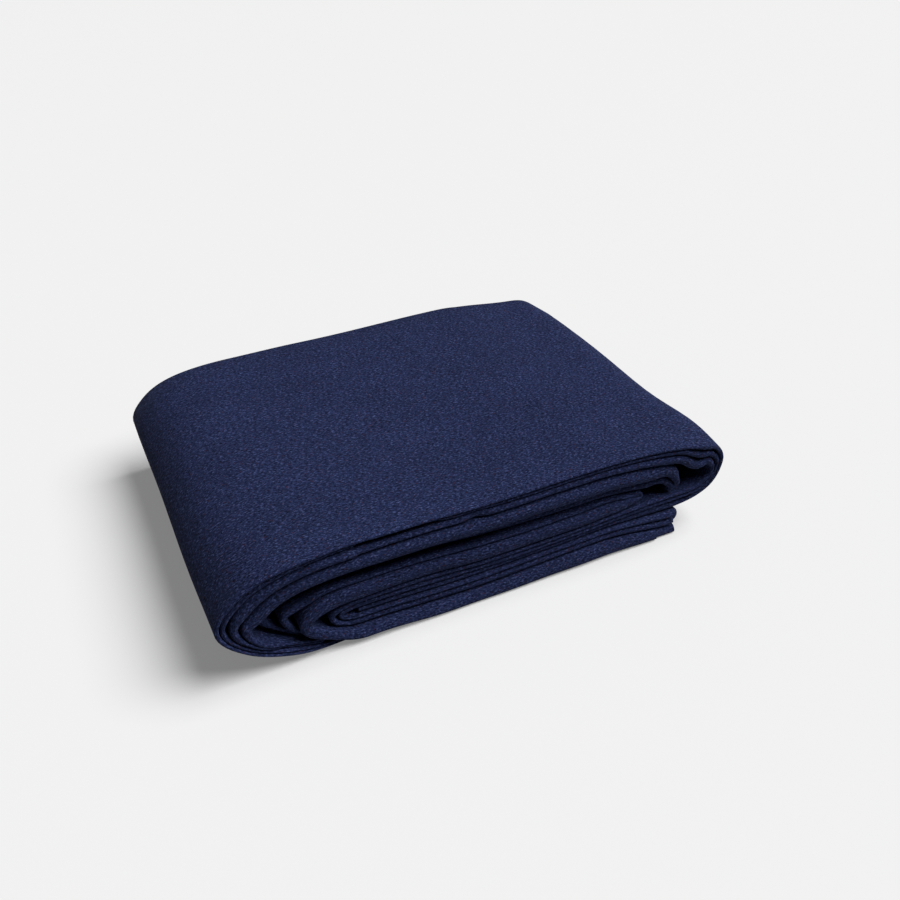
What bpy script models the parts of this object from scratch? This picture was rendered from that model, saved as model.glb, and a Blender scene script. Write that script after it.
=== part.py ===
"""Emergency blanket, folded for storage, in metres with +Z up.

The blanket is one cloth. It is doubled along its length, so the front edge of every layer is a
rounded fold and the back edge is the two hems. The doubled length is laid back and forth into a
pile: its layers turn over at the left and right ends, and the outer ones wrap round the pile.

X runs along the front edge, Y from the front edge to the back, Z up from the surface below.
The tables are in millimetres from the pile's left end, and the angles are in degrees.
"""

import math
from collections import namedtuple

import bpy

MM = 0.001

PILE_WIDTH = 420.0
PILE_DEPTH = 293.0
LAYER_GAP = 0.5
INNER_GAP = 0.4

# Every layer has its stations at the same places along X, so that neighbours never cross.
RUN_STEPS = (105.0, 140.0, 175.0, 210.0, 247.0, 285.0, 320.0, 346.0, 372.0)
BEND_STEP = 16.0
TURN_STEP = 24.0

# The points round a front fold, as angles up from its middle, and where the sides gain a point.
NOSE_ANGLES = (90.0, 40.0, 0.0, -40.0, -90.0)
MID_DEPTH = 150.0

# Where the layers are measured, from the left end.
COLUMNS = (105.0, 150.0, 210.0, 285.0, 320.0, 372.0)

# One row per layer, from the surface upwards: its height at each column, the thickness of one ply,
# how far its front fold stands back at the left and the right, and the same for its back hems.
# The pocket is air.
Layer = namedtuple(
    "Layer", "name h105 h150 h210 h285 h320 h372 ply front_left front_right back_left back_right"
)
LAYERS = (
    Layer("sole", 9.6, 10.3, 10.9, 15.2, 15.4, 8.0, 2.8, 0.0, 0.0, 1.0, 4.0),
    Layer("inner_5", 7.0, 7.0, 7.4, 6.2, 6.6, 7.5, 1.9, 5.5, 1.5, 5.0, 2.0),
    Layer("inner_4", 4.3, 4.2, 3.7, 3.6, 4.0, 7.5, 1.8, 5.5, 1.5, 4.0, 3.0),
    Layer("inner_3", 6.3, 6.0, 4.7, 4.4, 5.2, 8.8, 1.9, 7.0, 4.5, 6.0, 2.0),
    Layer("inner_2", 5.6, 6.0, 4.7, 3.4, 3.6, 3.9, 1.6, 6.0, 3.5, 3.0, 5.0),
    Layer("inner_1", 4.8, 5.3, 4.1, 3.4, 3.6, 3.9, 1.6, 5.0, 3.5, 2.0, 4.0),
    Layer("lap", 13.4, 12.4, 12.6, 12.8, 11.2, 0.0, 2.8, 2.5, 3.5, 0.0, 3.0),
    Layer("crease_2", 4.8, 4.2, 4.4, 4.4, 4.0, 0.0, 1.6, 6.0, 6.0, 4.0, 6.0),
    Layer("pocket", 0.0, 0.0, 0.0, 0.0, 0.0, 6.6, 0.0, 0.0, 0.0, 0.0, 0.0),
    Layer("crease_1", 9.0, 9.2, 10.1, 9.6, 8.0, 7.5, 2.2, 12.0, 3.5, 5.0, 1.0),
    Layer("cover_4", 13.0, 14.2, 15.2, 16.4, 16.0, 14.0, 3.0, 1.0, 1.5, 2.0, 2.0),
    Layer("cover_3", 7.0, 5.9, 6.4, 6.2, 6.6, 9.8, 2.4, 1.5, 1.0, 1.0, 3.0),
    Layer("cover_2", 3.7, 3.7, 3.7, 3.7, 3.9, 5.0, 1.5, 2.5, 1.5, 3.0, 1.0),
    Layer("cover_1", 3.6, 3.6, 3.6, 3.6, 3.8, 4.4, 1.5, 0.5, 0.5, 0.0, 0.0),
)

# The cloth's way through the pile: each layer in turn with where it enters and leaves it.
Run = namedtuple("Run", "layer enter leave")
RUNS = (
    Run("sole", 382.0, 105.0),
    Run("lap", 98.0, 320.0),
    Run("crease_2", 320.0, 98.0),
    Run("crease_1", 105.0, 346.0),
    Run("cover_4", 346.0, 105.0),
    Run("cover_3", 105.0, 372.0),
    Run("inner_1", 372.0, 105.0),
    Run("inner_5", 108.0, 376.0),
    Run("inner_4", 376.0, 108.0),
    Run("inner_2", 105.0, 372.0),
    Run("cover_2", 372.0, 105.0),
    Run("cover_1", 105.0, 372.0),
    Run("inner_3", 372.0, 102.5),
)

# The bends between one run and the next, in order along the cloth: a point on the layer's middle,
# the way the cloth heads there, and the layer's height. Where the cloth doubles back on itself,
# the row is the middle of that fold, spread is how far apart the two legs lie, above nought for a
# left turn, and the heading is that of the leg that comes in.
Bend = namedtuple("Bend", "after x z heading height spread")
BENDS = (
    Bend("sole", 79.6, 13.4, 152.0, 8.0, 0.0),
    Bend("sole", 62.4, 28.6, 90.0, 9.6, 0.0),
    Bend("lap", 330.0, 43.4, 12.0, 8.4, 0.0),
    Bend("lap", 342.8, 46.8, 6.0, 2.6, 3.2),
    Bend("crease_2", 71.5, 49.0, 206.0, 5.0, 0.0),
    Bend("crease_2", 48.4, 38.0, 272.0, 6.0, 0.0),
    Bend("crease_2", 52.4, 26.5, -55.0, 4.2, 0.0),
    Bend("crease_2", 58.6, 18.6, -36.0, 2.4, -3.0),
    Bend("crease_2", 43.8, 27.8, 139.0, 3.2, 0.0),
    Bend("crease_2", 33.4, 38.5, 106.0, 5.6, 0.0),
    Bend("crease_2", 40.5, 47.2, 42.0, 6.6, 0.0),
    Bend("crease_2", 74.0, 58.4, 12.0, 7.0, 0.0),
    Bend("crease_1", 362.0, 53.4, -12.0, 5.4, 0.0),
    Bend("crease_1", 375.0, 48.6, -48.0, 5.6, 6.2),
    Bend("crease_1", 371.6, 59.3, 142.0, 10.2, 0.0),
    Bend("cover_4", 32.6, 53.5, 223.0, 10.6, 0.0),
    Bend("cover_4", 21.6, 44.0, 270.0, 7.4, 0.0),
    Bend("cover_4", 26.1, 32.0, -52.0, 3.3, 0.0),
    Bend("cover_4", 45.5, 18.8, -23.0, 1.9, 0.0),
    Bend("cover_4", 72.5, 9.3, -16.0, 1.6, -2.0),
    Bend("cover_4", 44.8, 16.7, 158.0, 1.8, 0.0),
    Bend("cover_4", 24.0, 29.2, 137.0, 2.2, 0.0),
    Bend("cover_4", 13.2, 46.5, 90.0, 5.6, 0.0),
    Bend("cover_4", 24.0, 61.9, 43.0, 9.8, 0.0),
    Bend("cover_3", 384.0, 66.3, -36.0, 8.0, 0.0),
    Bend("cover_3", 395.0, 60.4, -10.0, 7.8, 0.0),
    Bend("cover_3", 401.6, 61.4, 6.0, 6.8, 0.0),
    Bend("cover_3", 407.2, 58.4, -52.0, 4.8, 0.0),
    Bend("cover_3", 410.6, 52.0, 270.0, 3.2, 0.0),
    Bend("cover_3", 402.0, 41.3, 212.0, 3.0, 0.0),
    Bend("cover_3", 389.0, 38.0, 183.0, 3.2, 0.0),
    Bend("inner_1", 82.0, 26.0, 270.0, 4.2, 0.0),
    Bend("inner_5", 377.6, 15.5, 0.0, 6.6, 7.4),
    Bend("inner_4", 88.8, 24.8, 90.0, 3.5, 0.0),
    Bend("inner_2", 390.0, 34.0, 3.0, 3.2, 0.0),
    Bend("inner_2", 405.2, 37.7, 32.0, 3.0, 0.0),
    Bend("inner_2", 414.4, 55.2, 90.0, 2.7, 0.0),
    Bend("inner_2", 408.2, 64.7, 144.0, 3.8, 0.0),
    Bend("inner_2", 402.5, 68.6, 168.0, 5.6, 0.0),
    Bend("inner_2", 395.0, 70.6, 157.0, 6.2, 0.0),
    Bend("cover_2", 17.9, 68.1, 223.0, 5.6, 0.0),
    Bend("cover_2", 6.2, 50.0, 270.0, 3.4, 0.0),
    Bend("cover_2", 21.3, 26.8, -42.0, 2.0, 0.0),
    Bend("cover_2", 46.2, 13.4, -20.0, 1.8, 0.0),
    Bend("cover_2", 66.3, 7.0, -13.0, 1.7, 0.0),
    Bend("cover_2", 91.6, 1.6, -4.0, 1.0, -1.4),
    Bend("cover_2", 66.0, 4.8, 168.0, 1.7, 0.0),
    Bend("cover_2", 45.6, 11.1, 160.0, 1.8, 0.0),
    Bend("cover_2", 19.6, 24.7, 140.0, 2.0, 0.0),
    Bend("cover_2", 1.8, 52.0, 90.0, 3.4, 0.0),
    Bend("cover_2", 14.0, 71.9, 43.0, 3.3, 0.0),
    Bend("cover_1", 398.2, 77.8, -30.0, 5.4, 0.0),
    Bend("cover_1", 409.5, 71.3, -46.0, 3.6, 0.0),
    Bend("cover_1", 418.3, 57.0, 270.0, 3.3, 0.0),
    Bend("cover_1", 407.6, 34.7, 214.0, 3.0, 0.0),
    Bend("cover_1", 391.0, 27.9, 190.0, 3.4, 0.0),
)

# The pile is a little uneven from front to back.
END_SKEW = 4.0
CROWN = 0.012

Station = namedtuple("Station", "x z across_x across_z height ply front back")
Knot = namedtuple("Knot", "x z heading height")


def column_value(values, x):
    """The value at x of a smooth curve through the values given at the columns."""
    x = min(max(x, COLUMNS[0]), COLUMNS[-1])
    last = len(COLUMNS) - 1
    slopes = []
    for i in range(last + 1):
        before, after = max(i - 1, 0), min(i + 1, last)
        slopes.append((values[after] - values[before]) / (COLUMNS[after] - COLUMNS[before]))
    i = min(sum(x >= column for column in COLUMNS[1:]), last - 1)
    width = COLUMNS[i + 1] - COLUMNS[i]
    t = (x - COLUMNS[i]) / width
    return (
        (1 + 2 * t) * (1 - t) ** 2 * values[i]
        + t * (1 - t) ** 2 * width * slopes[i]
        + t * t * (3 - 2 * t) * values[i + 1]
        - t * t * (1 - t) * width * slopes[i + 1]
    )


def layer_span(name, x):
    """The bottom and the top of a layer at x, with every layer resting on those below it."""
    bottom = 0.0
    for layer in LAYERS:
        height = max(column_value(layer[1:7], x), 0.0)
        if layer.name == name:
            break
        bottom += height
    return bottom, bottom + height


def run_stations(run):
    """Stations at even steps along one layer, as high as the layer less the gap to the next."""
    layer = next(row for row in LAYERS if row.name == run.layer)
    low, high = sorted((run.enter, run.leave))
    steps = [low, *(x for x in RUN_STEPS if low < x < high), high]
    up = 1.0 if run.leave > run.enter else -1.0
    stations = []
    for x in steps if run.leave > run.enter else reversed(steps):
        bottom, top = layer_span(run.layer, x)
        share = min(max((x - COLUMNS[0]) / (COLUMNS[-1] - COLUMNS[0]), 0.0), 1.0)
        front = layer.front_left + (layer.front_right - layer.front_left) * share
        back = layer.back_left + (layer.back_right - layer.back_left) * share
        middle = (bottom + top - LAYER_GAP) / 2
        stations.append(
            Station(x, middle, 0.0, up, top - bottom - LAYER_GAP, layer.ply, front, back)
        )
    return stations


def heading_of(first, second):
    return math.degrees(math.atan2(second.z - first.z, second.x - first.x))


def knots_of(bend):
    """The one knot of a plain bend, or the three round a fold where the cloth doubles back."""
    if not bend.spread:
        return [Knot(bend.x, bend.z, bend.heading, bend.height)]
    way = math.radians(bend.heading)
    reach, side = abs(bend.spread) / 2, bend.spread / 2
    return [
        Knot(
            bend.x + reach * ahead * math.cos(way) - side * across * math.sin(way),
            bend.z + reach * ahead * math.sin(way) + side * across * math.cos(way),
            bend.heading + math.copysign(turn, side),
            bend.height,
        )
        for ahead, across, turn in ((0.0, -1.0, 0.0), (1.0, 0.0, 90.0), (0.0, 1.0, 180.0))
    ]


def bend_points(start, end):
    """Points along one smooth curve between two knots, without the start: x, z, heading, share."""
    ways = [
        (math.cos(math.radians(knot.heading)), math.sin(math.radians(knot.heading)))
        for knot in (start, end)
    ]
    span = (end.x - start.x, end.z - start.z)
    turn = abs((end.heading - start.heading + 180.0) % 360.0 - 180.0)
    quarter = math.radians(max(turn, 1.0)) / 4
    handle = 4 / 3 * math.tan(quarter) / math.sin(4 * quarter)
    reach = [handle * abs(span[0] * way[0] + span[1] * way[1]) for way in ways]
    hull = (
        (start.x, start.z),
        (start.x + reach[0] * ways[0][0], start.z + reach[0] * ways[0][1]),
        (end.x - reach[1] * ways[1][0], end.z - reach[1] * ways[1][1]),
        (end.x, end.z),
    )
    steps = max(math.ceil(turn / TURN_STEP), round(math.hypot(*span) / BEND_STEP), 1)
    points = []
    for i in range(1, steps + 1):
        t = i / steps
        weights = ((1 - t) ** 3, 3 * t * (1 - t) ** 2, 3 * t * t * (1 - t), t**3)
        rates = (-((1 - t) ** 2), (1 - t) * (1 - 3 * t), t * (2 - 3 * t), t * t)
        x, z = (sum(w * p[axis] for w, p in zip(weights, hull)) for axis in (0, 1))
        dx, dz = (sum(w * p[axis] for w, p in zip(rates, hull)) for axis in (0, 1))
        points.append((x, z, math.atan2(dz, dx), t))
    return points


def bend_stations(before, after, bends):
    """Stations round the bends between the end of one run and the start of the next."""
    leave, enter = before[-1], after[0]
    knots = [
        Knot(leave.x, leave.z, heading_of(before[-2], leave), leave.height),
        *(knot for bend in bends for knot in knots_of(bend)),
        Knot(enter.x, enter.z, heading_of(enter, after[1]), enter.height),
    ]
    stations = []
    for i, (start, end) in enumerate(zip(knots, knots[1:])):
        for x, z, way, t in bend_points(start, end):
            share = (i + t) / (len(knots) - 1)
            height = start.height + (end.height - start.height) * t
            stations.append(
                Station(
                    x,
                    z,
                    -math.sin(way),
                    math.cos(way),
                    height,
                    leave.ply + (enter.ply - leave.ply) * share,
                    leave.front + (enter.front - leave.front) * share,
                    leave.back + (enter.back - leave.back) * share,
                )
            )
    return stations[:-1]


def cloth_stations():
    runs = [run_stations(run) for run in RUNS]
    stations = list(runs[0])
    for row, before, after in zip(RUNS, runs, runs[1:]):
        bends = [bend for bend in BENDS if bend.after == row.layer]
        stations += bend_stations(before, after, bends) + after
    return stations


def uneven(x, y, z):
    """Where a point of the even pile lies in the real one, in metres about the pile's middle."""
    depth = y / PILE_DEPTH
    x += END_SKEW * depth * (x / PILE_WIDTH - 0.5) * math.sin(math.pi * depth)
    z *= 1.0 + CROWN * math.sin(2.0 * math.pi * (0.8 * depth + x / PILE_WIDTH))
    return (x - PILE_WIDTH / 2) * MM, (y - PILE_DEPTH / 2) * MM, z * MM


def section(station):
    """The doubled cloth at a station: round the front fold outside, then back inside it."""
    half = station.height / 2
    inner = max(half - station.ply, INNER_GAP / 2)
    back = PILE_DEPTH - station.back
    nose = station.front + half
    outline = [(half, back), (half, MID_DEPTH)]
    for angle in NOSE_ANGLES:
        turn = math.radians(angle)
        outline.append((half * math.sin(turn), nose - half * math.cos(turn)))
    outline += [(-half, MID_DEPTH), (-half, back), (-inner, back), (-inner, MID_DEPTH)]
    outline += [(-inner, nose), (0.0, nose - inner), (inner, nose)]
    outline += [(inner, MID_DEPTH), (inner, back)]
    return [
        uneven(station.x + station.across_x * rise, y, station.z + station.across_z * rise)
        for rise, y in outline
    ]


def blanket_mesh():
    rings = [section(station) for station in cloth_stations()]
    size = len(rings[0])
    last = size * (len(rings) - 1)
    faces = [tuple(reversed(range(size))), tuple(range(last, last + size))]
    for row in range(len(rings) - 1):
        for i in range(size):
            here, after = row * size + i, row * size + (i + 1) % size
            faces.append((here, after, after + size, here + size))
    mesh = bpy.data.meshes.new("blanket")
    mesh.from_pydata([point for ring in rings for point in ring], [], faces)
    return mesh


def blanket_material():
    material = bpy.data.materials.new("blanket_cloth")
    material.use_nodes = True
    shader = material.node_tree.nodes["Principled BSDF"]
    shader.inputs["Base Color"].default_value = (0.012, 0.026, 0.10, 1.0)
    shader.inputs["Roughness"].default_value = 0.95
    return material


def build():
    for item in list(bpy.data.objects):
        bpy.data.objects.remove(item, do_unlink=True)
    mesh = blanket_mesh()
    mesh.materials.append(blanket_material())
    blanket = bpy.data.objects.new("blanket", mesh)
    bpy.context.scene.collection.objects.link(blanket)


if __name__ == "__main__":
    build()
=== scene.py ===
import math
from collections import namedtuple

import bpy
import numpy as np
from mathutils import Matrix, Vector


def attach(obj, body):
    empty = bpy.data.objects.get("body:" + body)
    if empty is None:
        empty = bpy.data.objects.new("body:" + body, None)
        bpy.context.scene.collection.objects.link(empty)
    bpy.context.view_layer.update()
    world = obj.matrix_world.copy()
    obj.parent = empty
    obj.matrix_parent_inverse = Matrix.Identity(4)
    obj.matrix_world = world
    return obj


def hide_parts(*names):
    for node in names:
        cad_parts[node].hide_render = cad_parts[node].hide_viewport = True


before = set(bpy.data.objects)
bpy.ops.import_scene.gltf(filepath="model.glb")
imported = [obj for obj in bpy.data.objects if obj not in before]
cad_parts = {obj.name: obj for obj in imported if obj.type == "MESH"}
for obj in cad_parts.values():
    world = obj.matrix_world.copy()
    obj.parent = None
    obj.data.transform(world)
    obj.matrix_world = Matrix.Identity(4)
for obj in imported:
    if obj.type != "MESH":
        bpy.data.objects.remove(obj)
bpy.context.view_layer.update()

MM = 0.001

# ---------------------------------------------------------------------------------------------
# The fold of the cloth. Millimetres from the pile's left end, front edge and underside. It is the
# fold of the CAD part with finer steps, and with the setbacks and dents that the part leaves out.

PILE_WIDTH = 420.0
PILE_DEPTH = 293.0

# The air between one layer and the next, and between the two plies of one layer.
LAYER_GAP = 1.0
INNER_GAP = 0.4

# How far apart the stations lie along the runs and round the bends, and the most that one turns.
RUN_STEP = 5.0
BEND_STEP = 4.0
TURN_STEP = 9.0

# No even station lies nearer than this to the end of a run.
RUN_END_MARGIN = 1.0

# Where the layers are measured, from the left end.
COLUMNS = (105.0, 150.0, 210.0, 285.0, 320.0, 372.0)

# One row per layer, from the surface upwards: its height at each column, the thickness of one ply,
# how far its front fold stands back at the left and the right, and the same for its back hems.
# The pocket is air.
Layer = namedtuple(
    "Layer", "name h105 h150 h210 h285 h320 h372 ply front_left front_right back_left back_right"
)
LAYERS = (
    Layer("sole", 9.6, 10.3, 10.9, 15.2, 15.4, 8.0, 2.8, 0.0, 0.0, 1.0, 4.0),
    Layer("inner_5", 7.0, 7.0, 7.4, 6.2, 6.6, 7.5, 1.9, 5.5, 1.5, 5.0, 2.0),
    Layer("inner_4", 4.3, 4.2, 3.7, 3.6, 4.0, 7.5, 1.8, 5.5, 1.5, 4.0, 3.0),
    Layer("inner_3", 6.3, 6.0, 4.7, 4.4, 5.2, 8.8, 1.9, 7.0, 4.5, 6.0, 2.0),
    Layer("inner_2", 5.6, 6.0, 4.7, 3.4, 3.6, 3.9, 1.6, 6.0, 3.5, 3.0, 5.0),
    Layer("inner_1", 4.8, 5.3, 4.1, 3.4, 3.6, 3.9, 1.6, 5.0, 3.5, 2.0, 4.0),
    Layer("lap", 13.4, 12.4, 12.6, 12.8, 11.2, 0.0, 2.8, 2.5, 3.5, 0.0, 3.0),
    Layer("crease_2", 4.8, 4.2, 4.4, 4.4, 4.0, 0.0, 1.6, 6.4, 6.0, 4.0, 6.0),
    Layer("pocket", 0.0, 0.0, 0.0, 0.0, 0.0, 6.6, 0.0, 0.0, 0.0, 0.0, 0.0),
    Layer("crease_1", 9.0, 9.2, 10.1, 9.6, 8.0, 7.5, 2.2, 15.0, 6.0, 5.0, 1.0),
    Layer("cover_4", 13.0, 14.2, 15.2, 16.4, 16.0, 14.0, 3.0, 1.0, 1.5, 2.0, 2.0),
    Layer("cover_3", 7.0, 5.9, 6.4, 6.2, 6.6, 9.8, 2.4, 1.5, 1.0, 1.0, 3.0),
    Layer("cover_2", 3.7, 3.7, 3.7, 3.7, 3.9, 5.0, 1.5, 2.5, 1.5, 3.0, 1.0),
    Layer("cover_1", 3.6, 3.6, 3.6, 3.6, 3.8, 4.4, 1.5, 0.5, 0.5, 0.0, 0.0),
)

# The cloth's way through the pile: each layer in turn with where it enters and leaves it.
Run = namedtuple("Run", "layer enter leave")
RUNS = (
    Run("sole", 380.0, 105.0),
    Run("lap", 98.0, 320.0),
    Run("crease_2", 320.0, 98.0),
    Run("crease_1", 105.0, 346.0),
    Run("cover_4", 346.0, 105.0),
    Run("cover_3", 105.0, 372.0),
    Run("inner_1", 372.0, 105.0),
    Run("inner_5", 108.0, 376.0),
    Run("inner_4", 376.0, 108.0),
    Run("inner_2", 105.0, 372.0),
    Run("cover_2", 372.0, 105.0),
    Run("cover_1", 105.0, 372.0),
    Run("inner_3", 372.0, 102.5),
)

# The bends between one run and the next, in order along the cloth: a point on the layer's middle,
# the way the cloth heads there, and the layer's height. Where the cloth doubles back on itself,
# the row is the middle of that fold, spread is how far apart the two legs lie, above nought for a
# left turn, and the heading is that of the leg that comes in.
Bend = namedtuple("Bend", "after x z heading height spread")
BENDS = (
    Bend("sole", 79.6, 13.4, 152.0, 8.0, 0.0),
    Bend("sole", 62.4, 28.6, 90.0, 9.6, 0.0),
    Bend("lap", 330.0, 43.4, 12.0, 8.4, 0.0),
    Bend("lap", 342.8, 46.8, 6.0, 2.6, 3.2),
    Bend("crease_2", 71.5, 49.0, 206.0, 5.0, 0.0),
    Bend("crease_2", 48.4, 38.0, 272.0, 6.0, 0.0),
    Bend("crease_2", 52.4, 26.5, -55.0, 4.2, 0.0),
    Bend("crease_2", 58.6, 18.6, -36.0, 2.4, -3.0),
    Bend("crease_2", 43.8, 27.8, 139.0, 3.2, 0.0),
    Bend("crease_2", 33.4, 38.5, 106.0, 5.6, 0.0),
    Bend("crease_2", 40.5, 47.2, 42.0, 6.6, 0.0),
    Bend("crease_2", 74.0, 58.4, 12.0, 7.0, 0.0),
    Bend("crease_1", 362.0, 53.4, -12.0, 5.4, 0.0),
    Bend("crease_1", 375.0, 48.6, -48.0, 5.6, 6.2),
    Bend("crease_1", 371.6, 59.3, 142.0, 10.2, 0.0),
    Bend("cover_4", 32.6, 53.5, 223.0, 10.6, 0.0),
    Bend("cover_4", 21.6, 44.0, 270.0, 7.4, 0.0),
    Bend("cover_4", 26.1, 32.0, -52.0, 3.3, 0.0),
    Bend("cover_4", 45.5, 18.8, -23.0, 1.9, 0.0),
    Bend("cover_4", 72.5, 9.3, -16.0, 1.6, -2.0),
    Bend("cover_4", 44.8, 16.7, 158.0, 1.8, 0.0),
    Bend("cover_4", 24.0, 29.2, 137.0, 2.2, 0.0),
    Bend("cover_4", 13.2, 46.5, 90.0, 5.6, 0.0),
    Bend("cover_4", 24.0, 61.9, 43.0, 9.8, 0.0),
    Bend("cover_3", 384.0, 66.3, -36.0, 8.0, 0.0),
    Bend("cover_3", 395.0, 60.4, -10.0, 7.8, 0.0),
    Bend("cover_3", 401.6, 61.4, 6.0, 6.8, 0.0),
    Bend("cover_3", 407.2, 58.4, -52.0, 4.8, 0.0),
    Bend("cover_3", 410.6, 52.0, 270.0, 3.2, 0.0),
    Bend("cover_3", 402.0, 41.3, 212.0, 3.0, 0.0),
    Bend("cover_3", 389.0, 38.0, 183.0, 3.2, 0.0),
    Bend("inner_1", 82.0, 26.0, 270.0, 4.2, 0.0),
    Bend("inner_5", 377.6, 15.5, 0.0, 6.6, 7.4),
    Bend("inner_4", 88.8, 24.8, 90.0, 3.5, 0.0),
    Bend("inner_2", 390.0, 34.0, 3.0, 3.2, 0.0),
    Bend("inner_2", 405.2, 37.7, 32.0, 3.0, 0.0),
    Bend("inner_2", 414.4, 55.2, 90.0, 2.7, 0.0),
    Bend("inner_2", 408.2, 64.7, 144.0, 3.8, 0.0),
    Bend("inner_2", 402.5, 68.6, 168.0, 5.6, 0.0),
    Bend("inner_2", 395.0, 70.6, 157.0, 6.2, 0.0),
    Bend("cover_2", 17.9, 68.1, 223.0, 5.6, 0.0),
    Bend("cover_2", 6.2, 50.0, 270.0, 3.4, 0.0),
    Bend("cover_2", 21.3, 26.8, -42.0, 2.0, 0.0),
    Bend("cover_2", 46.2, 13.4, -20.0, 1.8, 0.0),
    Bend("cover_2", 66.3, 7.0, -13.0, 1.7, 0.0),
    Bend("cover_2", 91.6, 1.6, -4.0, 1.0, -1.4),
    Bend("cover_2", 66.0, 4.8, 168.0, 1.7, 0.0),
    Bend("cover_2", 45.6, 11.1, 160.0, 1.8, 0.0),
    Bend("cover_2", 19.6, 24.7, 140.0, 2.0, 0.0),
    Bend("cover_2", 1.8, 52.0, 90.0, 3.4, 0.0),
    Bend("cover_2", 14.0, 71.9, 43.0, 3.3, 0.0),
    Bend("cover_1", 398.2, 77.8, -30.0, 5.4, 0.0),
    Bend("cover_1", 409.5, 71.3, -46.0, 3.6, 0.0),
    Bend("cover_1", 418.3, 57.0, 270.0, 3.3, 0.0),
    Bend("cover_1", 407.6, 34.7, 214.0, 3.0, 0.0),
    Bend("cover_1", 391.0, 27.9, 190.0, 3.4, 0.0),
)

# Where a front fold stands further back than its layer does, along a run or the bends after it:
# by depth, from x_from to x_to and below a height, with edge the length over which that fades.
Setback = namedtuple("Setback", "part x_from x_to below edge depth")
SETBACKS = (
    Setback("cover_1", 75.0, 350.0, 100.0, 60.0, 3.2),
    Setback("cover_2 bend", 75.0, 350.0, 100.0, 60.0, 3.2),
    Setback("cover_2", 98.0, 168.0, 100.0, 14.0, 2.6),
    Setback("cover_2", 60.0, 350.0, 100.0, 60.0, 2.6),
    Setback("cover_3", 60.0, 350.0, 100.0, 60.0, 2.0),
    Setback("sole", 361.0, 400.0, 100.0, 0.5, 1.6),
    Setback("inner_5 bend", 379.0, 400.0, 100.0, 1.5, 2.4),
    Setback("cover_4 bend", 38.0, 100.0, 22.0, 14.0, 3.0),
)

# A setback with a shorter edge than this has stations of its own at both ends of that edge.
SHORT_EDGE = 1.0

# How far the foot of a layer's front stands back from its head.
UNDERCUTS = {"sole": 3.0}

# Soft troughs and ridges: the middle of each, how far it reaches, and how far it moves the cloth.
Dent = namedtuple("Dent", "x y z reach_x reach_y reach_z move_x move_y move_z")
DENTS = (
    Dent(396.0, -1.0, 84.0, 14.0, 26.0, 26.0, 0.0, 0.0, -2.2),
    Dent(362.0, -1.0, 74.0, 38.0, 34.0, 30.0, 1.4, 0.0, 3.6),
    Dent(412.0, 36.0, 73.0, 22.0, 46.0, 20.0, 4.6, 0.0, 4.4),
    Dent(409.0, 212.0, 75.0, 26.0, 118.0, 20.0, 3.2, 0.0, 4.8),
    Dent(330.0, 292.0, 92.0, 130.0, 60.0, 34.0, 0.0, 0.0, 3.2),
    Dent(418.0, 292.0, 84.0, 18.0, 18.0, 30.0, -1.6, -2.0, -1.6),
    Dent(110.0, -2.0, -2.0, 40.0, 60.0, 24.0, 0.0, 0.0, 3.6),
    Dent(425.0, 60.0, 35.0, 40.0, 300.0, 50.0, 1.6, 0.0, 0.0),
    Dent(230.0, 90.0, 96.0, 90.0, 60.0, 34.0, 0.0, 0.0, -1.3),
    Dent(120.0, 210.0, 96.0, 70.0, 60.0, 34.0, 0.0, 0.0, 1.0),
    Dent(310.0, 200.0, 96.0, 60.0, 50.0, 34.0, 0.0, 0.0, -0.9),
    Dent(330.0, 40.0, 96.0, 50.0, 40.0, 30.0, 0.0, 0.0, 0.7),
    Dent(60.0, 70.0, 88.0, 40.0, 60.0, 40.0, 0.0, 0.0, -0.8),
    Dent(2.0, 190.0, 55.0, 26.0, 60.0, 34.0, 1.2, 0.0, 0.0),
    Dent(4.0, 70.0, 48.0, 26.0, 50.0, 34.0, -0.9, 0.0, 0.0),
    Dent(195.0, 3.0, 80.5, 7.0, 7.0, 3.6, 0.0, 2.2, 1.6),
)

# The pile is a little uneven from front to back. Each end bulges by 0.29 of END_SKEW at most. The
# height rises and falls by a share, in waves: so many along the depth for one along the width.
END_SKEW = 4.0
CROWN = 0.012
CROWN_WAVES = 0.8

# Smooth noise of the front folds and of the back hems along the cloth.
Wander = namedtuple("Wander", "step size seed")
FRONT_WANDER = Wander(31.0, 0.35, 4)
BACK_WANDER = Wander(43.0, 0.5, 5)

# The depth of a front fold's rounding as a share of half its height, where it isn't a half circle.
FLAT_NOSES = {"sole": 0.5, "lap": 0.62}

# The rounding inside a front fold is a half circle between the plies, but no deeper than the one
# outside less the first share of a ply, and no less than the least depth. The cloth in front of it
# is at least the last share of a ply thick.
INNER_NOSE_CUT = 0.4
INNER_NOSE_LEAST = 0.2
NOSE_WALL = 0.9

# The rounding of a cut edge, as a share of a ply.
HEM_ROUND = 0.35

# The points round the cloth: steps round the front fold, rows behind it outside and inside, and
# the power that crowds those rows toward it.
NOSE_STEPS = 12
OUTER_ROWS = 20
INNER_ROWS = 5
ROW_CROWD = 2.1

# Edges sharper than this are drawn sharp, in degrees.
SHARP_ANGLE = 60.0

# The map of the cloth's own coordinates. On the two end faces it runs on past the end of the
# cloth, by this much for each millimetre of a point's distance from the middle of the cloth.
UV_NAME = "cloth"
END_MAP_REACH = 2.0

Station = namedtuple("Station", "part x z across_x across_z height ply front back nose undercut")
Knot = namedtuple("Knot", "x z heading height")


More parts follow.
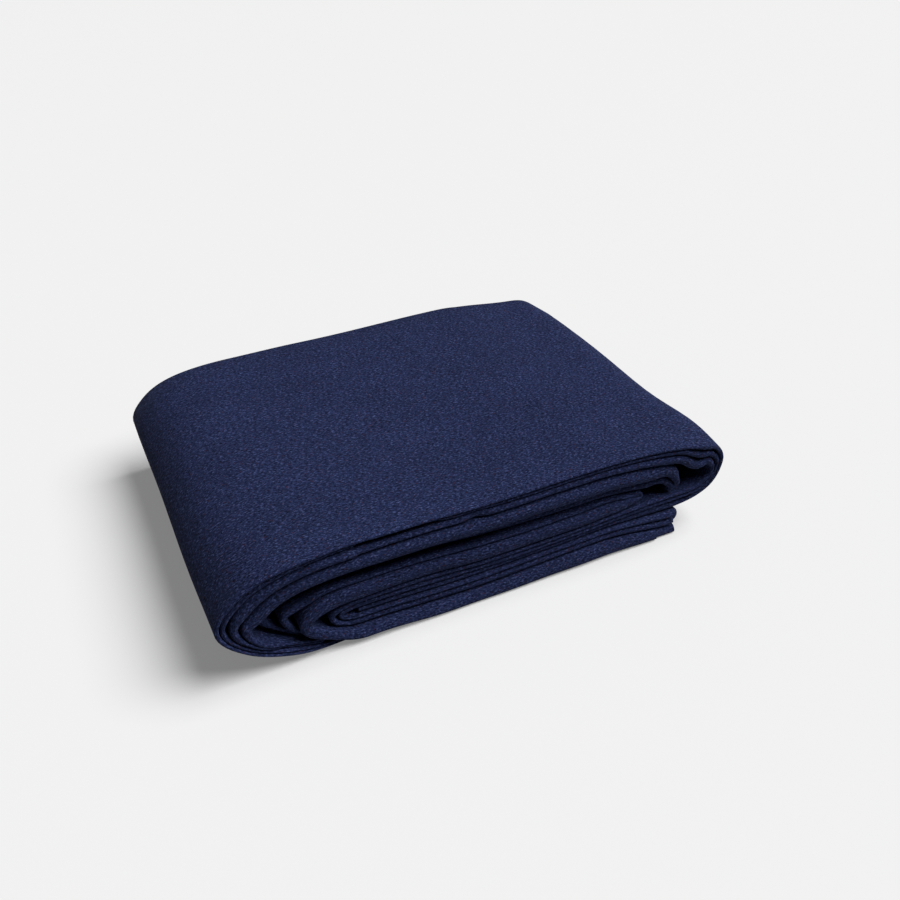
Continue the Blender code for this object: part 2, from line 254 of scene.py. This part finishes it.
def column_value(values, x):
    """The value at x of a smooth curve through the values given at the columns."""
    x = min(max(x, COLUMNS[0]), COLUMNS[-1])
    last = len(COLUMNS) - 1
    slopes = []
    for i in range(last + 1):
        before, after = max(i - 1, 0), min(i + 1, last)
        slopes.append((values[after] - values[before]) / (COLUMNS[after] - COLUMNS[before]))
    i = min(sum(x >= column for column in COLUMNS[1:]), last - 1)
    width = COLUMNS[i + 1] - COLUMNS[i]
    t = (x - COLUMNS[i]) / width
    return (
        (1 + 2 * t) * (1 - t) ** 2 * values[i]
        + t * (1 - t) ** 2 * width * slopes[i]
        + t * t * (3 - 2 * t) * values[i + 1]
        - t * t * (1 - t) * width * slopes[i + 1]
    )


def layer_span(name, x):
    """The bottom and the top of a layer at x, with every layer resting on those below it."""
    bottom = 0.0
    for layer in LAYERS:
        height = max(column_value(layer[1:7], x), 0.0)
        if layer.name == name:
            break
        bottom += height
    return bottom, bottom + height


def smooth_step(t):
    """A step from 0 to 1 that starts and ends level."""
    t = min(max(t, 0.0), 1.0)
    return t * t * (3 - 2 * t)


def setback(part, x, z):
    """How much further back than its layer the front fold of a part stands at x and z."""
    return sum(
        row.depth
        * smooth_step((x - row.x_from) / row.edge + 0.5)
        * smooth_step((row.x_to - x) / row.edge + 0.5)
        * smooth_step((row.below - z) / row.edge + 0.5)
        for row in SETBACKS
        if row.part == part
    )


def run_places(run):
    """Where the stations of a run lie, in the order in which the cloth passes them."""
    low, high = sorted((run.enter, run.leave))
    inside = [k * RUN_STEP for k in range(math.ceil(low / RUN_STEP), int(high / RUN_STEP) + 1)]
    edges = [
        edge + side * row.edge / 2
        for row in SETBACKS
        if row.part == run.layer and row.edge < SHORT_EDGE
        for edge in (row.x_from, row.x_to)
        for side in (-1, 1)
        if low < edge < high
    ]
    even = [x for x in inside if low + RUN_END_MARGIN < x < high - RUN_END_MARGIN]
    places = sorted({low, high, *edges, *even})
    return places if run.leave > run.enter else places[::-1]


def run_stations(run):
    """Stations at even steps along one layer, as high as the layer less the gap to the next."""
    layer = next(row for row in LAYERS if row.name == run.layer)
    up = 1.0 if run.leave > run.enter else -1.0
    stations = []
    for x in run_places(run):
        bottom, top = layer_span(run.layer, x)
        share = min(max((x - COLUMNS[0]) / (COLUMNS[-1] - COLUMNS[0]), 0.0), 1.0)
        front = layer.front_left + (layer.front_right - layer.front_left) * share
        back = layer.back_left + (layer.back_right - layer.back_left) * share
        stations.append(
            Station(
                run.layer,
                x,
                (bottom + top - LAYER_GAP) / 2,
                0.0,
                up,
                top - bottom - LAYER_GAP,
                layer.ply,
                front,
                back,
                FLAT_NOSES.get(run.layer, 1.0),
                UNDERCUTS.get(run.layer, 0.0),
            )
        )
    return stations


def heading_of(first, second):
    """The way from one station to another, in degrees."""
    return math.degrees(math.atan2(second.z - first.z, second.x - first.x))


def knots_of(bend):
    """The one knot of a plain bend, or the three round a fold where the cloth doubles back."""
    if not bend.spread:
        return [Knot(bend.x, bend.z, bend.heading, bend.height)]
    way = math.radians(bend.heading)
    reach, side = abs(bend.spread) / 2, bend.spread / 2
    return [
        Knot(
            bend.x + reach * ahead * math.cos(way) - side * across * math.sin(way),
            bend.z + reach * ahead * math.sin(way) + side * across * math.cos(way),
            bend.heading + math.copysign(turn, side),
            bend.height,
        )
        for ahead, across, turn in ((0.0, -1.0, 0.0), (1.0, 0.0, 90.0), (0.0, 1.0, 180.0))
    ]


def bend_points(start, end):
    """Points along one smooth curve between two knots, without the start: x, z, heading, share."""
    ways = [
        (math.cos(math.radians(knot.heading)), math.sin(math.radians(knot.heading)))
        for knot in (start, end)
    ]
    span = (end.x - start.x, end.z - start.z)
    turn = abs((end.heading - start.heading + 180.0) % 360.0 - 180.0)
    quarter = math.radians(max(turn, 1.0)) / 4
    handle = 4 / 3 * math.tan(quarter) / math.sin(4 * quarter)
    reach = [handle * abs(span[0] * way[0] + span[1] * way[1]) for way in ways]
    hull = (
        (start.x, start.z),
        (start.x + reach[0] * ways[0][0], start.z + reach[0] * ways[0][1]),
        (end.x - reach[1] * ways[1][0], end.z - reach[1] * ways[1][1]),
        (end.x, end.z),
    )
    steps = max(math.ceil(turn / TURN_STEP), round(math.hypot(*span) / BEND_STEP), 1)
    points = []
    for i in range(1, steps + 1):
        t = i / steps
        weights = ((1 - t) ** 3, 3 * t * (1 - t) ** 2, 3 * t * t * (1 - t), t**3)
        rates = (-((1 - t) ** 2), (1 - t) * (1 - 3 * t), t * (2 - 3 * t), t * t)
        x, z = (sum(w * p[axis] for w, p in zip(weights, hull)) for axis in (0, 1))
        dx, dz = (sum(w * p[axis] for w, p in zip(rates, hull)) for axis in (0, 1))
        points.append((x, z, math.atan2(dz, dx), t))
    return points


def bend_stations(part, before, after, bends):
    """Stations round the bends between the end of one run and the start of the next."""
    leave, enter = before[-1], after[0]
    knots = [
        Knot(leave.x, leave.z, heading_of(before[-2], leave), leave.height),
        *(knot for bend in bends for knot in knots_of(bend)),
        Knot(enter.x, enter.z, heading_of(enter, after[1]), enter.height),
    ]
    stations = []
    for i, (start, end) in enumerate(zip(knots, knots[1:])):
        for x, z, way, t in bend_points(start, end):
            share = (i + t) / (len(knots) - 1)
            height = start.height + (end.height - start.height) * smooth_step(t)
            stations.append(
                Station(
                    part,
                    x,
                    z,
                    -math.sin(way),
                    math.cos(way),
                    height,
                    leave.ply + (enter.ply - leave.ply) * share,
                    leave.front + (enter.front - leave.front) * share,
                    leave.back + (enter.back - leave.back) * share,
                    leave.nose + (enter.nose - leave.nose) * share,
                    leave.undercut + (enter.undercut - leave.undercut) * share,
                )
            )
    return stations[:-1]


def cloth_stations():
    """All stations along the cloth, from the sole's free edge to the last inner layer's."""
    runs = [run_stations(run) for run in RUNS]
    stations = list(runs[0])
    for row, before, after in zip(RUNS, runs, runs[1:]):
        bends = [bend for bend in BENDS if bend.after == row.layer]
        stations += bend_stations(row.layer + " bend", before, after, bends) + after
    return stations


def uneven(places):
    """Moves an array of points of the even pile to where they lie in the real one."""
    x, y, z = (places[..., axis] for axis in range(3))
    depth = y / PILE_DEPTH
    x = x + END_SKEW * depth * (x / PILE_WIDTH - 0.5) * np.sin(math.pi * depth)
    z = z * (1.0 + CROWN * np.sin(2.0 * math.pi * (CROWN_WAVES * depth + x / PILE_WIDTH)))
    moved = np.stack([x, y, z], axis=-1)
    for dent in DENTS:
        near = np.exp(
            -(((x - dent.x) / dent.reach_x) ** 2)
            - ((y - dent.y) / dent.reach_y) ** 2
            - ((z - dent.z) / dent.reach_z) ** 2
        )
        moved += near[..., None] * np.array((dent.move_x, dent.move_y, dent.move_z))
    return moved


def noise_row(length, wander):
    """Smooth noise along the cloth, within its size, with a new value at every step."""
    rng = np.random.default_rng(wander.seed)
    knots = np.arange(0.0, length[-1] + 3 * wander.step, wander.step)
    values = rng.uniform(-wander.size, wander.size, len(knots))
    at = length / wander.step
    low = at.astype(int)
    t = at - low
    t = t * t * (3 - 2 * t)
    return values[low] * (1 - t) + values[low + 1] * t


def row_shares(rows, count):
    """Shares of the way from the front fold back to the hem, crowded toward the front."""
    return [(1.0 - i / rows) ** ROW_CROWD for i in range(count)]


def sections(stations):
    """Rings of points round the doubled cloth, as rise across it and depth, and its length."""
    names = ("height", "ply", "front", "back", "nose", "undercut", "across_z")
    height, ply, front, back, nose_share, undercut, upward = (
        np.array([getattr(s, name) for s in stations]) for name in names
    )
    middle = np.array([(s.x, s.z) for s in stations])
    length = np.concatenate([[0.0], np.cumsum(np.linalg.norm(np.diff(middle, axis=0), axis=1))])
    front = front + np.array([setback(s.part, s.x, s.z) for s in stations])
    front = front + noise_row(length, FRONT_WANDER)
    back = PILE_DEPTH - back + noise_row(length, BACK_WANDER)
    half = height / 2
    inner = np.maximum(half - ply, INNER_GAP / 2)
    nose = half * nose_share
    lean = undercut * upward / 2
    ring = []

    def row(rise, depth):
        ring.append(np.stack([rise, depth], axis=-1))

    centre = front + nose
    outer_shares = row_shares(OUTER_ROWS, OUTER_ROWS)
    for share in outer_shares:
        row(half, centre + (back - centre) * share)
    for i in range(NOSE_STEPS + 1):
        turn = math.pi * (0.5 - i / NOSE_STEPS)
        reach = nose - lean * (1.0 + math.sin(turn))
        row(half * math.sin(turn), centre - reach * math.cos(turn))
    for share in reversed(outer_shares):
        row(-half, centre + (back - centre) * share)
    lip = (half + inner) / 2
    row(-lip, back + HEM_ROUND * ply)
    inner_nose = np.maximum(np.minimum(inner, nose - INNER_NOSE_CUT * ply), INNER_NOSE_LEAST)
    inner_centre = front + np.maximum(nose, NOSE_WALL * ply + inner_nose)
    inner_shares = row_shares(INNER_ROWS, INNER_ROWS + 1)
    for share in inner_shares:
        row(-inner, inner_centre + (back - inner_centre) * share)
    for turn in (-math.pi / 4, 0.0, math.pi / 4):
        row(inner * math.sin(turn), inner_centre - inner_nose * math.cos(turn))
    for share in reversed(inner_shares):
        row(inner, inner_centre + (back - inner_centre) * share)
    row(lip, back + HEM_ROUND * ply)
    return np.stack(ring, axis=1), length


def faces_and_map(ring, length):
    """The faces between the rings and at both ends, and the cloth's own coordinates at each of
    their corners: along the cloth, and round it."""
    rows, size = ring.shape[:2]
    rise = ring[..., 0]
    girth = np.zeros((rows, size + 1))
    closed = np.concatenate([ring, ring[:, :1]], axis=1)
    girth[:, 1:] = np.cumsum(np.linalg.norm(np.diff(closed, axis=1), axis=2), axis=1)
    faces, maps = [], []
    for i in range(rows - 1):
        here, ahead = i * size, (i + 1) * size
        for k in range(size):
            after = (k + 1) % size
            faces.append((here + k, here + after, ahead + after, ahead + k))
            maps += [
                (length[i], girth[i, k]),
                (length[i], girth[i, k + 1]),
                (length[i + 1], girth[i + 1, k + 1]),
                (length[i + 1], girth[i + 1, k]),
            ]
    for i, order in ((0, range(size - 1, -1, -1)), (rows - 1, range(size))):
        faces.append(tuple(i * size + k for k in order))
        maps += [
            (length[i] + END_MAP_REACH * math.copysign(rise[i, k], i - 1), girth[i, k])
            for k in order
        ]
    return faces, maps


def blanket_mesh():
    stations = cloth_stations()
    ring, length = sections(stations)
    middle = np.array([(s.x, s.z) for s in stations])
    across = np.array([(s.across_x, s.across_z) for s in stations])
    rise, depth = ring[..., 0], ring[..., 1]
    places = np.stack(
        [
            middle[:, None, 0] + across[:, None, 0] * rise,
            depth,
            middle[:, None, 1] + across[:, None, 1] * rise,
        ],
        axis=-1,
    )
    places = (uneven(places) - np.array([PILE_WIDTH / 2, PILE_DEPTH / 2, 0.0])) * MM
    faces, maps = faces_and_map(ring, length)
    mesh = bpy.data.meshes.new("blanket_cloth")
    mesh.from_pydata(places.reshape(-1, 3).tolist(), [], faces)
    layer = mesh.uv_layers.new(name=UV_NAME)
    layer.uv.foreach_set("vector", (np.array(maps) * MM).astype(np.float32).ravel())
    mesh.polygons.foreach_set("use_smooth", [True] * len(mesh.polygons))
    mesh.set_sharp_from_angle(angle=math.radians(SHARP_ANGLE))
    mesh.update()
    return mesh


# ---------------------------------------------------------------------------------------------
# Materials. Colours are linear. A pattern's scale is per metre, along the cloth and round it.

# The way a pattern is shifted, so that no two patterns have their spots in one place.
SHIFT_WAY = (1.0, 0.7, 0.3)

# The sockets of a Mix node that mixes colours.
MIX_SHARE, MIX_FIRST, MIX_SECOND = 0, 6, 7
MIX_RESULT = 2

FIBRE_DEEP = (0.0010, 0.0014, 0.0040)
FIBRE_NAVY = (0.0055, 0.0085, 0.0275)
FIBRE_BLUE = (0.0098, 0.0145, 0.0440)
FIBRE_PALE = (0.0360, 0.0470, 0.1100)
DARK_FLECK = (0.0012, 0.0012, 0.0028)
RUST_FLECK = (0.0260, 0.0080, 0.0120)
SHEEN_TINT = (0.45, 0.55, 1.0, 1.0)
FLOOR_GREY = (0.33, 0.33, 0.33, 1.0)
WHITE = (1.0, 1.0, 1.0, 1.0)


class Nodes:
    """Short calls for building one material's node tree."""

    def __init__(self, material):
        material.use_nodes = True
        self.tree = material.node_tree
        self.shader = self.tree.nodes["Principled BSDF"]

    def add(self, kind, **settings):
        node = self.tree.nodes.new("ShaderNode" + kind)
        for name, value in settings.items():
            setattr(node, name, value)
        return node

    def link(self, source, target):
        self.tree.links.new(source, target)

    def stretched(self, scale):
        """The cloth's own coordinates, along it and round it, times a scale per metre."""
        source = self.add("UVMap", uv_map=UV_NAME)
        mapping = self.add("Mapping")
        mapping.inputs["Scale"].default_value = (scale[0], scale[1], 1.0)
        self.link(source.outputs["UV"], mapping.inputs["Vector"])
        return mapping.outputs["Vector"]

    def noise(self, scale, detail, roughness, distortion, shift=0.0):
        node = self.add("TexNoise", noise_dimensions="3D")
        node.inputs["Scale"].default_value = 1.0
        node.inputs["Detail"].default_value = detail
        node.inputs["Roughness"].default_value = roughness
        node.inputs["Distortion"].default_value = distortion
        vector = self.stretched(scale)
        if shift:
            vector.node.inputs["Location"].default_value = [shift * way for way in SHIFT_WAY]
        self.link(vector, node.inputs["Vector"])
        return node.outputs["Fac"]

    def ramp(self, source, stops):
        """A ramp whose stops are (place, colour), a colour being a grey or (red, green, blue)."""
        node = self.add("ValToRGB")
        bar = node.color_ramp
        for i, (place, colour) in enumerate(stops):
            stop = bar.elements[i] if i < 2 else bar.elements.new(place)
            stop.position = place
            rgb = colour if hasattr(colour, "__len__") else (colour,) * 3
            stop.color = (*rgb, 1.0)
        self.link(source, node.inputs["Fac"])
        return node.outputs["Color"]

    def mix(self, first, second, share, blend="MIX"):
        node = self.add("Mix", data_type="RGBA", blend_type=blend)
        for socket, value in ((MIX_FIRST, first), (MIX_SECOND, second), (MIX_SHARE, share)):
            if isinstance(value, bpy.types.NodeSocket):
                self.link(value, node.inputs[socket])
            elif hasattr(value, "__len__"):
                node.inputs[socket].default_value = (*value, 1.0)
            else:
                node.inputs[socket].default_value = value
        return node.outputs[MIX_RESULT]

    def bump(self, height, distance, strength, normal=None):
        node = self.add("Bump")
        node.inputs["Strength"].default_value = strength
        node.inputs["Distance"].default_value = distance
        self.link(height, node.inputs["Height"])
        if normal:
            self.link(normal, node.inputs["Normal"])
        return node.outputs["Normal"]


def cloth_material():
    material = bpy.data.materials.new("navy_felted_wool")
    nodes = Nodes(material)
    fibres = nodes.noise((420.0, 900.0), detail=3.0, roughness=0.62, distortion=0.5)
    melange = nodes.ramp(
        fibres,
        ((0.30, FIBRE_DEEP), (0.44, FIBRE_NAVY), (0.55, FIBRE_BLUE), (0.68, FIBRE_PALE)),
    )
    flecks = nodes.noise((520.0, 820.0), detail=2.0, roughness=0.6, distortion=0.3, shift=7.0)
    dark = nodes.ramp(flecks, ((0.58, 0.0), (0.70, 1.0)))
    colour = nodes.mix(melange, DARK_FLECK, dark)
    flecks = nodes.noise((380.0, 760.0), detail=2.0, roughness=0.6, distortion=0.3, shift=19.0)
    rust = nodes.ramp(flecks, ((0.63, 0.0), (0.72, 0.8)))
    colour = nodes.mix(colour, RUST_FLECK, rust)
    spots = nodes.noise((130.0, 190.0), detail=3.0, roughness=0.6, distortion=0.0, shift=31.0)
    mottle = nodes.ramp(spots, ((0.3, 0.84), (0.7, 1.12)))
    colour = nodes.mix(colour, mottle, 1.0, "MULTIPLY")
    spots = nodes.noise((16.0, 22.0), detail=3.0, roughness=0.55, distortion=0.0, shift=43.0)
    cloud = nodes.ramp(spots, ((0.3, 0.92), (0.7, 1.06)))
    colour = nodes.mix(colour, cloud, 1.0, "MULTIPLY")
    nodes.link(colour, nodes.shader.inputs["Base Color"])
    nap = nodes.noise((700.0, 1300.0), detail=2.0, roughness=0.6, distortion=0.4, shift=3.0)
    pile = nodes.noise((170.0, 320.0), detail=3.0, roughness=0.6, distortion=0.2, shift=53.0)
    normal = nodes.bump(pile, distance=0.0007, strength=0.6)
    normal = nodes.bump(nap, distance=0.0004, strength=0.7, normal=normal)
    nodes.link(normal, nodes.shader.inputs["Normal"])
    nodes.shader.inputs["Roughness"].default_value = 0.95
    nodes.shader.inputs["Specular IOR Level"].default_value = 0.04
    nodes.shader.inputs["Sheen Weight"].default_value = 0.01
    nodes.shader.inputs["Sheen Roughness"].default_value = 0.5
    nodes.shader.inputs["Sheen Tint"].default_value = SHEEN_TINT
    return material


def floor_material():
    material = bpy.data.materials.new("pale_floor")
    nodes = Nodes(material)
    nodes.shader.inputs["Base Color"].default_value = FLOOR_GREY
    nodes.shader.inputs["Emission Color"].default_value = WHITE
    nodes.shader.inputs["Emission Strength"].default_value = 0.2
    nodes.shader.inputs["Roughness"].default_value = 0.9
    nodes.shader.inputs["Specular IOR Level"].default_value = 0.1
    return material


# ---------------------------------------------------------------------------------------------
# Floor, light and camera, in metres

FLOOR_HALF = 9.0

# The floor lies this far below nought, so that it isn't in one plane with the sole.
FLOOR_DROP = 0.0002


def add_floor():
    corners = [
        (side_x * FLOOR_HALF, side_y * FLOOR_HALF, -FLOOR_DROP)
        for side_x, side_y in ((-1, -1), (1, -1), (1, 1), (-1, 1))
    ]
    mesh = bpy.data.meshes.new("floor")
    mesh.from_pydata(corners, [], [(0, 1, 2, 3)])
    mesh.materials.append(floor_material())
    floor = bpy.data.objects.new("floor", mesh)
    bpy.context.scene.collection.objects.link(floor)


# The lamp shines from a bearing, 0 from the front and 90 from the right, and a height, in degrees.
LAMP_BEARING = 70.0
LAMP_HEIGHT = 56.0
LAMP_SPREAD = 44.0
LAMP_STRENGTH = 7.5
LAMP_DISTANCE = 2.0
SKY_STRENGTH = 0.08


def add_lights():
    data = bpy.data.lights.new("key_dome", "SUN")
    data.angle = math.radians(LAMP_SPREAD)
    data.energy = LAMP_STRENGTH
    bearing, height = math.radians(LAMP_BEARING), math.radians(LAMP_HEIGHT)
    source = Vector(
        (
            math.sin(bearing) * math.cos(height),
            -math.cos(bearing) * math.cos(height),
            math.sin(height),
        )
    )
    light = bpy.data.objects.new("key_dome", data)
    light.location = source * LAMP_DISTANCE
    light.rotation_euler = source.to_track_quat("Z", "Y").to_euler()
    bpy.context.scene.collection.objects.link(light)
    world = bpy.data.worlds.new("studio")
    world.use_nodes = True
    sky = world.node_tree.nodes["Background"]
    sky.inputs["Color"].default_value = WHITE
    sky.inputs["Strength"].default_value = SKY_STRENGTH
    bpy.context.scene.world = world


# Where the camera stands, which way it looks in degrees, and its lens in millimetres.
CAMERA_PLACE = (-0.2561, -0.5966, 0.4935)
CAMERA_YAW, CAMERA_PITCH, CAMERA_ROLL = 25.88, 34.63, -0.28
CAMERA_LENS = 36.66
SENSOR_WIDTH = 36.0
NEAREST_SEEN = 0.02


def add_camera():
    yaw, pitch = math.radians(CAMERA_YAW), math.radians(CAMERA_PITCH)
    forward = Vector(
        (math.sin(yaw) * math.cos(pitch), math.cos(yaw) * math.cos(pitch), -math.sin(pitch))
    )
    right = Vector((math.cos(yaw), -math.sin(yaw), 0.0))
    up = right.cross(forward)
    turn = Matrix((right, up, -forward)).transposed().to_4x4()
    data = bpy.data.cameras.new("camera")
    data.lens = CAMERA_LENS
    data.sensor_width = SENSOR_WIDTH
    data.clip_start = NEAREST_SEEN
    camera = bpy.data.objects.new("camera", data)
    roll = Matrix.Rotation(math.radians(CAMERA_ROLL), 4, "Z")
    camera.matrix_world = Matrix.Translation(CAMERA_PLACE) @ turn @ roll
    bpy.context.scene.collection.objects.link(camera)
    bpy.context.scene.camera = camera


def build():
    bpy.context.scene.view_settings.view_transform = "Standard"
    add_camera()
    mesh = blanket_mesh()
    mesh.materials.append(cloth_material())
    cloth = bpy.data.objects.new("folded_cloth", mesh)
    bpy.context.scene.collection.objects.link(cloth)
    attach(cloth, "root")
    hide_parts("blanket")
    add_floor()
    add_lights()


build()
bpy.context.view_layer.update()
